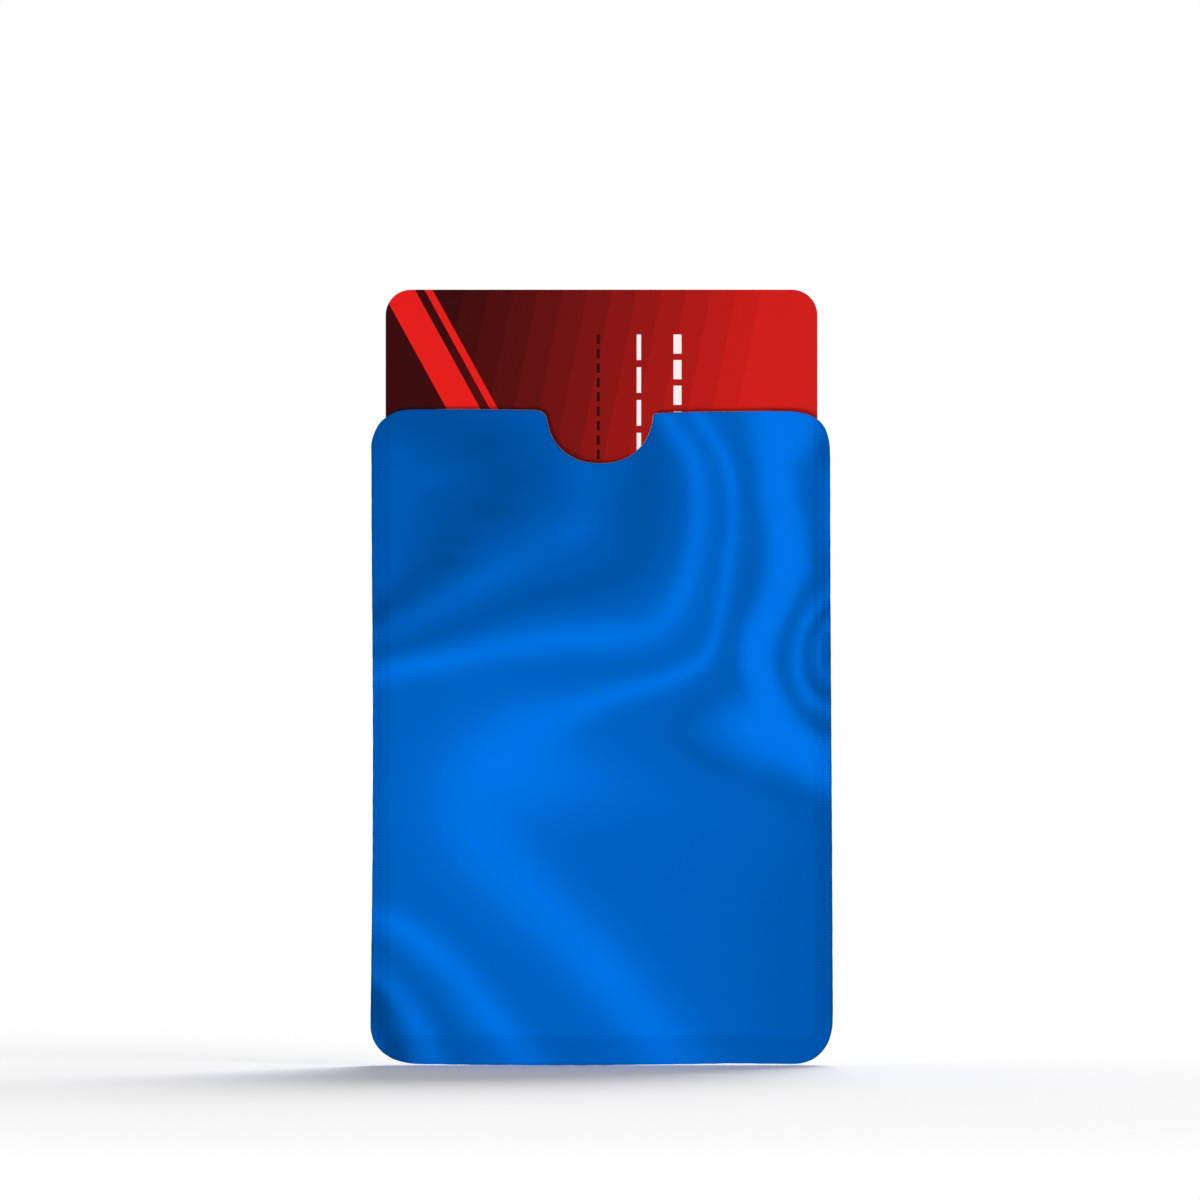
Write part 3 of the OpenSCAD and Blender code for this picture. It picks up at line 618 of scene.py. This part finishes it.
class Surface:
    """A material's nodes, with short calls for the few kinds that are used here."""

    def __init__(self, name, colour, metallic, roughness):
        self.material = bpy.data.materials.new(name)
        self.material.use_nodes = True
        self.tree = self.material.node_tree
        self.shader = self.tree.nodes["Principled BSDF"]
        self.put("Base Color", colour)
        self.put("Metallic", metallic)
        self.put("Roughness", roughness)

    def put(self, name, value):
        """Sets a socket of the shader to a value, or links it."""
        self.feed(self.shader.inputs[name], value)

    def feed(self, socket, value):
        if isinstance(value, bpy.types.NodeSocket):
            self.tree.links.new(value, socket)
        else:
            socket.default_value = value

    def node(self, kind, **settings):
        made = self.tree.nodes.new(kind)
        for key, value in settings.items():
            setattr(made, key, value)
        return made

    def math(self, operation, *values, clamp=False):
        made = self.node("ShaderNodeMath", operation=operation, use_clamp=clamp)
        for socket, value in zip(made.inputs, values):
            self.feed(socket, value)
        return made.outputs[0]

    def scaled(self, value, by, plus):
        return self.math("MULTIPLY_ADD", value, by, plus)

    def centred(self, share):
        """A value from 0 to 1, moved to lie about 0."""
        return self.math("SUBTRACT", share, 0.5)

    def without(self, value):
        """1 where a value is 0, and 0 where it is 1."""
        return self.math("SUBTRACT", 1, value)

    def any_of(self, first, *others):
        """The largest of some shares."""
        for other in others:
            first = self.math("MAXIMUM", first, other)
        return first

    def product(self, first, *others):
        for other in others:
            first = self.math("MULTIPLY", first, other)
        return first

    def blend(self, share, a, b):
        """Colour a where share is 0 and b where it is 1."""
        # The colour sockets share their names with the node's other kinds, so they go by number
        colour_a, colour_b, result = 6, 7, 2
        made = self.node("ShaderNodeMix", data_type="RGBA")
        self.feed(made.inputs["Factor"], share)
        self.feed(made.inputs[colour_a], a)
        self.feed(made.inputs[colour_b], b)
        return made.outputs[result]

    def object_place(self):
        return self.node("ShaderNodeTexCoord").outputs["Object"]

    def place(self):
        """X and Z across the face, in millimetres."""
        parts = self.node("ShaderNodeSeparateXYZ")
        self.feed(parts.inputs[0], self.object_place())
        return [self.product(parts.outputs[axis], 1 / MM) for axis in ("X", "Z")]

    def noise(self, per_mm, detail=2.0):
        made = self.node("ShaderNodeTexNoise")
        self.feed(made.inputs["Vector"], self.object_place())
        self.feed(made.inputs["Scale"], per_mm / MM)
        self.feed(made.inputs["Detail"], detail)
        return made.outputs["Fac"]

    def streaks(self, along_per_mm, across_per_mm, slant):
        """Noise drawn out along a slanting direction across the face."""
        turn = self.node("ShaderNodeMapping")
        self.feed(turn.inputs["Vector"], self.object_place())
        self.feed(turn.inputs["Rotation"], (0, math.radians(slant), 0))
        self.feed(turn.inputs["Scale"], (along_per_mm / MM, along_per_mm / MM, across_per_mm / MM))
        made = self.node("ShaderNodeTexNoise")
        self.feed(made.inputs["Vector"], turn.outputs[0])
        self.feed(made.inputs["Scale"], 1)
        return made.outputs["Fac"]

    def attribute(self, name):
        return self.node("ShaderNodeAttribute", attribute_name=name).outputs["Fac"]

    def ramp(self, share, stops):
        """Colours at even steps from 0 to 1."""
        between_ends = 0.5
        made = self.node("ShaderNodeValToRGB")
        elements = made.color_ramp.elements
        while len(elements) < len(stops):
            elements.new(between_ends)
        for i, colour in enumerate(stops):
            elements[i].position = i / (len(stops) - 1)
            elements[i].color = colour
        self.feed(made.inputs[0], share)
        return made.outputs[0]

    def above(self, value, limit, soft):
        """0 below a limit and 1 above it, with a step of that width between."""
        start = self.math("SUBTRACT", value, limit - soft / 2)
        return self.math("DIVIDE", start, soft, clamp=True)

    def within(self, value, low, high, soft):
        """1 between two limits, with soft ends."""
        over = self.above(value, low, soft)
        return self.product(over, self.without(self.above(value, high, soft)))

    def wave_lines(self, value, pitch):
        """A sine from 0 to 1 that repeats at each pitch."""
        turned = self.math("SINE", self.product(value, 2 * math.pi / pitch))
        return self.scaled(turned, by=0.5, plus=0.5)

    def bump(self, height, depth_mm):
        made = self.node("ShaderNodeBump")
        self.feed(made.inputs["Height"], height)
        self.feed(made.inputs["Distance"], depth_mm * MM)
        self.put("Normal", made.outputs[0])


def tinted(surface, colour, grain, share):
    """A colour that varies by a fine grain, so that no face is quite even."""
    darker = (*(c * (1 - share) for c in colour[:3]), 1)
    return surface.blend(grain, darker, colour)


def grained(name, colour, metallic, roughness, tint, bump):
    """An even surface with a fine grain in its colour and its relief.

    tint is (grains per mm, share that they darken), and bump is (grains per mm, detail, depth).
    """
    surface = Surface(name, colour, metallic, roughness)
    tint_per_mm, share = tint
    bump_per_mm, detail, depth = bump
    surface.put("Base Color", tinted(surface, colour, surface.noise(tint_per_mm), share))
    surface.bump(surface.noise(bump_per_mm, detail), depth)
    return surface


def film_material():
    """Satin metallic blue with painted reflections of soft waves, and the welding bar's crosshatch
    along three sides.
    """
    dark, bright, steps = np.array([0, 67, 134]), np.array([0, 121, 240]), 6
    hatch_colour = srgb(0, 30, 80)
    roughness = 0.34
    edge, line_edge, line_inwards, line_outwards = 0.05, 0.06, 0.08, 0.04
    band_shade, hatch_shade, line_shade, rim_shade = 0.11, 0.12, 0.06, 0.25

    stops = [srgb(*(dark + (bright - dark) * i / steps)) for i in range(steps + 1)]
    film = Surface("blue_metallic_film", stops[steps // 2], metallic=0.97, roughness=roughness)
    x, z = film.place()
    brushed = film.centred(film.streaks(along_per_mm=0.16, across_per_mm=1.5, slant=24))
    # Painted reflection of the waves, with a faint brushed streak across it
    level = film.scaled(brushed, by=0.05, plus=film.attribute("sheen_wave"))
    colour = film.ramp(level, stops)
    side = film.math("ABSOLUTE", x)
    beside = film.above(side, BAND_X, edge)
    below = film.without(film.above(z, BAND_Z, edge))
    band = film.any_of(beside, below)
    patches = film.noise(per_mm=0.3, detail=3.0)

    def lines(at, pitch, beat, where):
        """Fine lines about 0, whose contrast comes and goes as two close pitches beat."""
        first, second = (film.centred(film.wave_lines(at, spacing)) for spacing in (pitch, beat))
        return film.product(film.math("ADD", first, second), where)

    rows = lines(z, ROW_PITCH, ROW_BEAT, film.scaled(beside, by=0.18, plus=0.52))
    columns = lines(x, COLUMN_PITCH, COLUMN_BEAT, film.scaled(below, by=0.5, plus=0.45))
    patchy = film.scaled(patches, by=1.3, plus=0.2)
    hatch = film.product(film.math("ADD", rows, columns), band, patchy)
    line = film.any_of(
        film.within(side, BAND_X - line_inwards, BAND_X + line_outwards, line_edge),
        film.within(z, BAND_Z - line_outwards, BAND_Z + line_inwards, line_edge),
    )
    shade = film.scaled(hatch, by=hatch_shade, plus=film.product(band, band_shade))
    shade = film.scaled(line, by=line_shade, plus=shade)
    shade = film.math("MULTIPLY_ADD", film.attribute("rim"), rim_shade, shade, clamp=True)
    film.put("Base Color", film.blend(shade, colour, hatch_colour))
    film.put("Specular IOR Level", 0.0)
    film.put("Specular Tint", (0.02, 0.4, 1.0, 1))
    film.put("Roughness", film.scaled(brushed, by=0.08, plus=roughness))
    grain = film.noise(per_mm=6.0, detail=4.0)
    film.bump(film.scaled(grain, by=0.12, plus=hatch), depth_mm=0.01)
    return film.material


def foil_material():
    """Bare rolled aluminium foil, with faint lines along its rolling direction."""
    foil = Surface("aluminium_foil", srgb(205, 208, 212), metallic=1.0, roughness=0.3)
    x, _ = foil.place()
    rolling = foil.wave_lines(foil.scaled(foil.noise(per_mm=0.4), by=2.0, plus=x), pitch=0.35)
    grain = foil.noise(per_mm=1.5)
    foil.put("Base Color", tinted(foil, srgb(212, 214, 218), grain, share=0.12))
    foil.put("Roughness", foil.scaled(rolling, by=0.08, plus=0.24))
    foil.bump(rolling, depth_mm=0.002)
    return foil.material


def lining_material(name, colour):
    """Heat-sealing plastic with a faint embossed grain."""
    glow_depth = 0.2
    lining = grained(name, colour, metallic=0.0, roughness=0.42,
                     tint=(2.0, 0.08), bump=(5.0, 4.0, 0.006))
    lining.put("Subsurface Weight", 0.08)
    lining.put("Subsurface Scale", glow_depth * MM)
    return lining.material


def adhesive_material():
    """Milky pressure-sensitive adhesive with a soft shine and a few small trapped bubbles."""
    milky, pale = srgb(240, 239, 231), srgb(250, 249, 245)
    bubbles_per_mm, bubble_size, bubble_edge = 0.22, 0.07, 0.04
    bubble_tint, bubble_height = 0.5, 0.4
    glue = Surface("tape_adhesive", milky, metallic=0.0, roughness=0.24)
    cells = glue.node("ShaderNodeTexVoronoi")
    glue.feed(cells.inputs["Scale"], bubbles_per_mm / MM)
    glue.feed(cells.inputs["Vector"], glue.object_place())
    bubble = glue.without(glue.above(cells.outputs["Distance"], bubble_size, bubble_edge))
    colour = tinted(glue, milky, glue.noise(per_mm=0.12, detail=3.0), share=0.06)
    glue.put("Base Color", glue.blend(glue.product(bubble, bubble_tint), colour, pale))
    glue.put("Roughness", glue.scaled(glue.noise(per_mm=0.15), by=0.16, plus=0.18))
    glue.put("Coat Weight", 0.25)
    unevenness = glue.noise(per_mm=0.3, detail=1.0)
    glue.bump(glue.scaled(bubble, by=bubble_height, plus=unevenness), depth_mm=0.01)
    return glue.material


def carrier_material():
    colour = srgb(244, 243, 238)
    return grained("tape_carrier_film", colour, metallic=0.0, roughness=0.38,
                   tint=(1.2, 0.05), bump=(3.0, 2.0, 0.004)).material


def with_ink_grain(surface, colour):
    """A print's colour with a faint dark grain."""
    grain_per_mm, strength = 4.0, 0.06
    grain = surface.product(surface.noise(grain_per_mm), strength)
    return surface.blend(grain, colour, srgb(20, 4, 4))


def card_face_material():
    """Glossy card face: stepped slanting bands from maroon to red, bright stripes and rules."""
    band_slant, bands_start, band_w, last_band = -0.2, -31.5, 3.1, 13
    band_colours = [(56, 6, 7), (88, 12, 12), (128, 19, 17), (172, 23, 20), (209, 30, 26)]
    stripe_slant, stripe_colour, stripe_edge = 0.55, srgb(228, 30, 27), 0.06
    # Each stripe is (low, high) across its slant
    stripes = [(3.2, 7.4), (8.6, 9.6), (-34.0, -29.8)]
    # Each rule is (left, right, count of dashes, dash, gap)
    white_rules = [(9.0, 10.0, 7, 2.4, 0.8), (4.4, 4.95, 4, 3.2, 0.9)]
    dark_rule = (-0.6, -0.2, 9, 1.2, 0.6)
    white, dark = srgb(250, 240, 240), srgb(58, 8, 8)
    rules_drop, rule_edge = 5.6, 0.05
    roughness = 0.22

    face = Surface("card_face_print", srgb(150, 18, 16), metallic=0.0, roughness=roughness)
    x, z = face.place()
    slanted = face.math("SUBTRACT", face.scaled(z, by=band_slant, plus=x), bands_start)
    band = face.math("FLOOR", face.math("DIVIDE", slanted, band_w))
    share = face.math("DIVIDE", band, last_band, clamp=True)
    print_colour = face.ramp(share, [srgb(*colour) for colour in band_colours])
    cross = face.scaled(z, by=stripe_slant, plus=x)
    striped = face.any_of(*[face.within(cross, *stripe, stripe_edge) for stripe in stripes])
    print_colour = face.blend(striped, print_colour, stripe_colour)
    down = face.math("SUBTRACT", CARD_HIGH.z - rules_drop, z)

    def rule(left, right, count, dash, gap):
        """A broken line of short plain blocks down the card."""
        across = face.within(x, left, right, rule_edge)
        along = face.within(down, 0, count * (dash + gap) - gap / 2, rule_edge)
        turn = face.math("FRACT", face.math("DIVIDE", down, dash + gap))
        shown = face.math("LESS_THAN", turn, dash / (dash + gap))
        return face.product(across, along, shown)

    print_colour = face.blend(face.any_of(*[rule(*r) for r in white_rules]), print_colour, white)
    print_colour = face.blend(rule(*dark_rule), print_colour, dark)
    face.put("Base Color", with_ink_grain(face, print_colour))
    face.put("Roughness", face.scaled(face.noise(per_mm=0.5), by=0.08, plus=roughness))
    face.put("Specular IOR Level", 0.04)
    face.bump(face.noise(per_mm=2.5, detail=3.0), depth_mm=0.003)
    return face.material


def card_sheet_material(name, colour):
    """Plain card stock, seen at the card's edge."""
    return grained(name, colour, metallic=0.0, roughness=0.45,
                   tint=(3.0, 0.05), bump=(6.0, 2.0, 0.004)).material


def card_back_material():
    """The back of the card: plain deep red with fine slanting lines."""
    line_slant, line_pitch, line_strength = 0.55, 1.1, 0.22
    back = Surface("card_back_print", srgb(120, 16, 15), metallic=0.0, roughness=0.26)
    x, z = back.place()
    lines = back.wave_lines(back.scaled(z, by=line_slant, plus=x), line_pitch)
    lines = back.product(lines, line_strength)
    colour = back.blend(lines, srgb(126, 17, 16), srgb(82, 10, 10))
    back.put("Base Color", with_ink_grain(back, colour))
    back.put("Specular IOR Level", 0.06)
    back.bump(back.noise(per_mm=2.5, detail=3.0), depth_mm=0.003)
    return back.material


def stripe_material():
    """Magnetic stripe: near-black, with fine lines along it from the coating."""
    stripe = Surface("magnetic_tape", srgb(34, 30, 30), metallic=0.0, roughness=0.32)
    x, _ = stripe.place()
    wandering = stripe.scaled(stripe.noise(per_mm=0.3), by=1.0, plus=x)
    coating = stripe.wave_lines(wandering, pitch=0.5)
    stripe.put("Base Color", stripe.blend(coating, srgb(30, 26, 26), srgb(42, 37, 36)))
    stripe.put("Roughness", stripe.scaled(coating, by=0.1, plus=0.26))
    stripe.put("Specular IOR Level", 0.15)
    stripe.bump(coating, depth_mm=0.002)
    return stripe.material


def signature_material():
    """Matt writing panel with fine pale guard lines."""
    line_pitch, line_from, line_edge, line_strength = 0.9, 0.86, 0.1, 0.5
    panel = Surface("writing_panel", srgb(240, 237, 230), metallic=0.0, roughness=0.75)
    x, z = panel.place()
    guard = panel.wave_lines(panel.math("ADD", x, z), line_pitch)
    guard = panel.product(panel.above(guard, line_from, line_edge), line_strength)
    panel.put("Base Color", panel.blend(guard, srgb(241, 238, 231), srgb(205, 190, 184)))
    panel.bump(panel.noise(per_mm=7.0, detail=4.0), depth_mm=0.006)
    return panel.material


def metal_material(name, colour, roughness):
    return grained(name, colour, metallic=1.0, roughness=roughness,
                   tint=(2.0, 0.15), bump=(5.0, 2.0, 0.003)).material


def dress(piece, material):
    piece.data.materials.clear()
    piece.data.materials.append(material)


def finish_piece(piece, material, slot, *nodes):
    """Gives a piece its material, and lets it stand for its nodes on the sleeve. The slot is not
    used.
    """
    dress(piece, material)
    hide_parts(*nodes)
    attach(piece, "sleeve")


# The sleeve's layers
def make_front(film, foil, lining):
    fine, coarse = formed_grid(FRONT_FINE), formed_grid(FRONT_COARSE)
    outline = cut_outline(notched=True)
    x, z = outline.T
    near_mouth = smoothstep((z - (MOUTH_Z - CUT_BACK_DEPTH)) / CUT_BACK_DEPTH_SOFT)
    off_sides = smoothstep((HALF_W - CUT_BACK_IN - np.abs(x)) / CUT_BACK_IN_SOFT)
    cut_back = CUT_BACK * near_mouth * off_sides
    piece = sheet("front_film_sheet", inset(outline, cut_back), formed(FOIL_T + FILM_T),
                  formed(FOIL_T), fine, coarse, FILM_ROUND, sheen_wave)
    finish_piece(piece, film, "blue_film", "front_film")
    piece = sheet("front_foil_sheet", inset(outline, cut_back / 2), formed(FOIL_T), formed(0),
                  coarse, coarse, FOIL_ROUND)
    finish_piece(piece, foil, "foil_shield", "front_shield")
    piece = sheet("front_lining_sheet", over_pocket(outline), formed(0), formed(-LINING_T),
                  coarse, coarse, FILM_ROUND)
    finish_piece(piece, lining, "lining", "front_lining")


def make_welds(weld):
    outline = cut_outline(notched=False)
    low = back_of("back_lining")
    grid = even_grid(FRONT_COARSE)
    loops = {
        "left": clip(outline, X, -WELD_X, -1),
        "right": clip(outline, X, WELD_X, 1),
        "bottom": clip(between_welds(outline), Z, WELD_Z, -1),
    }
    for name, loop in loops.items():
        piece = sheet(f"{name}_weld", loop, flat(SEAL_U + LINING_T), flat(low), grid, grid, 0)
        finish_piece(piece, weld, "weld", f"{name}_seam")


def make_back(film, foil, lining):
    outline = cut_outline(notched=False)
    fine, coarse = even_grid(BACK_FINE), even_grid(BACK_COARSE)

    # The back film's painted reflection is the front's, turned half round
    def turned_sheen_wave(x, z):
        return sheen_wave(-x, -z)

    film_u, foil_u, lining_u = (back_of(f"back_{layer}") for layer in ("film", "shield", "lining"))
    piece = sheet("back_film_sheet", outline, flat(foil_u), flat(film_u), coarse, fine,
                  FILM_ROUND, turned_sheen_wave)
    finish_piece(piece, film, "blue_film", "back_film")
    piece = sheet("back_foil_sheet", outline, flat(lining_u), flat(foil_u), coarse, coarse,
                  FOIL_ROUND)
    finish_piece(piece, foil, "foil_shield", "back_shield")
    piece = sheet("back_lining_sheet", over_pocket(outline), flat(SEAL_U), flat(lining_u),
                  coarse, coarse, FILM_ROUND)
    finish_piece(piece, lining, "lining", "back_lining")


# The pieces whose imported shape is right, with the card's face edges eased
def dress_packed_pieces():
    ease_width, ease_segments, ease_from = 0.03, 2, math.radians(60)
    glue = adhesive_material()
    core = card_sheet_material("card_core_stock", srgb(244, 242, 238))
    finishes = {
        "tape_inner_adhesive": (glue, "adhesive"),
        "tape_outer_adhesive": (glue, "adhesive"),
        "tape_carrier": (carrier_material(), "tape_film"),
        "card_front_overlay": (card_face_material(), "card_face"),
        "card_rear_overlay": (card_back_material(), "card_face"),
        "card_front_core": (core, "card_core"),
        "card_rear_core": (core, "card_core"),
        "card_inlay": (card_sheet_material("card_inlay_stock", srgb(226, 221, 208)), "card_inlay"),
        "card_antenna": (metal_material("antenna_track", srgb(196, 160, 122), 0.32), "antenna_foil"),
        "card_chip": (card_sheet_material("chip_moulding", srgb(30, 30, 33)), "chip"),
        "card_magnetic_stripe": (stripe_material(), "magnetic_stripe"),
        "card_signature_panel": (signature_material(), "signature_panel"),
    }
    for name, (material, slot) in finishes.items():
        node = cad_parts[name]
        dress(node, material)
    for name in ("card_front_overlay", "card_rear_overlay"):
        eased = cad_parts[name].modifiers.new("eased edge", "BEVEL")
        eased.width = ease_width * MM
        eased.segments = ease_segments
        eased.limit_method = "ANGLE"
        eased.angle_limit = ease_from


# Stage
def make_floor():
    """A pale floor that catches the object's shadow and fades into the white. It is in metres."""
    half, fade_from, fade_over = 3.0, 0.16, 0.2
    mesh = bpy.data.meshes.new("floor")
    z = (BOTTOM_Z + min(offset for _, offset in BOTTOM_END)) * MM
    corners = [(-half, -half, z), (half, -half, z), (half, half, z), (-half, half, z)]
    mesh.from_pydata(corners, [], [(0, 1, 2, 3)])
    floor = add_object("floor", mesh)
    surface = Surface("pale_floor", srgb(250, 250, 250), metallic=0.0, roughness=0.8)
    surface.put("Specular IOR Level", 0.0)
    away = surface.node("ShaderNodeVectorMath", operation="LENGTH")
    surface.feed(away.inputs[0], surface.object_place())
    faded = surface.above(away.outputs["Value"], fade_from, fade_over)
    mirrored = surface.node("ShaderNodeLightPath").outputs["Is Glossy Ray"]
    faded = surface.any_of(faded, mirrored)
    mix = surface.node("ShaderNodeMixShader")
    clear = surface.node("ShaderNodeBsdfTransparent").outputs[0]
    for socket, value in zip(mix.inputs, (faded, surface.shader.outputs[0], clear)):
        surface.feed(socket, value)
    surface.feed(surface.tree.nodes["Material Output"].inputs["Surface"], mix.outputs[0])
    dress(floor, surface.material)
    floor.visible_shadow = False


def make_world():
    """White for the camera and in reflections, and a plainer level that lights the object."""
    lighting_level = 0.34
    world = bpy.data.worlds.new("studio")
    bpy.context.scene.world = world
    world.use_nodes = True
    nodes, links = world.node_tree.nodes, world.node_tree.links
    path = nodes.new("ShaderNodeLightPath")
    seen = path.outputs["Is Camera Ray"]
    for ray in ("Is Glossy Ray", "Is Transmission Ray"):
        either = nodes.new("ShaderNodeMath")
        either.operation = "MAXIMUM"
        links.new(seen, either.inputs[0])
        links.new(path.outputs[ray], either.inputs[1])
        seen = either.outputs[0]
    level = nodes.new("ShaderNodeMapRange")
    level.inputs["To Min"].default_value = lighting_level
    level.inputs["To Max"].default_value = 1.0
    links.new(seen, level.inputs["Value"])
    background = nodes["Background"]
    background.inputs["Color"].default_value = (1, 1, 1, 1)
    links.new(level.outputs[0], background.inputs["Strength"])


def make_lamp(name, place, size, share, mirrored):
    """A soft lamp aimed at the object, in metres.

    share is the brightness that it adds to a white face which faces the front.
    """
    data = bpy.data.lights.new(name, "AREA")
    data.shape = "DISK"
    data.size = size
    lamp = add_object(name, data)
    target = Vector((0, 0, (BOTTOM_Z + CARD_HIGH.z) / 2 * MM))
    lamp.location = place
    lamp.visible_camera = False
    lamp.visible_glossy = mirrored
    towards = target - Vector(place)
    lamp.rotation_euler = towards.to_track_quat("-Z", "Y").to_euler()
    facing = abs(towards.normalized().y)
    data.energy = share * math.pi**2 * towards.length**2 / facing


def make_camera():
    """A long lens straight in front, framed so that 150 mm fill the picture's width."""
    frame_w, distance = 150.0, 1500.0
    # The place that lies in the middle of the picture
    aim_x, aim_z = -0.19, 17.1
    sensor, clip_range = 36.0, (0.01, 50)
    data = bpy.data.cameras.new("camera")
    data.sensor_width = sensor
    data.lens = sensor * distance / frame_w
    data.clip_start, data.clip_end = clip_range
    camera = add_object("camera", data)
    camera.location = (aim_x * MM, -(distance + front_of("front_film")) * MM, aim_z * MM)
    camera.rotation_euler = (math.pi / 2, 0, 0)
    bpy.context.scene.camera = camera


make_camera()
FILM, FOIL = film_material(), foil_material()
LINING = lining_material("heat_seal_lining", srgb(206, 214, 222))
WELD = lining_material("fused_lining", srgb(196, 210, 226))
make_front(FILM, FOIL, LINING)
make_welds(WELD)
make_back(FILM, FOIL, LINING)
dress_packed_pieces()
make_floor()
make_world()
make_lamp("key", place=(-0.85, -0.5, -0.8), size=0.55, share=0.55, mirrored=False)
make_lamp("fill", place=(0.95, -0.6, 0.6), size=0.8, share=0.11, mirrored=False)
make_lamp("rear", place=(0.3, 0.8, 1.0), size=0.8, share=0.5, mirrored=True)
bpy.context.scene.view_settings.view_transform = "Standard"
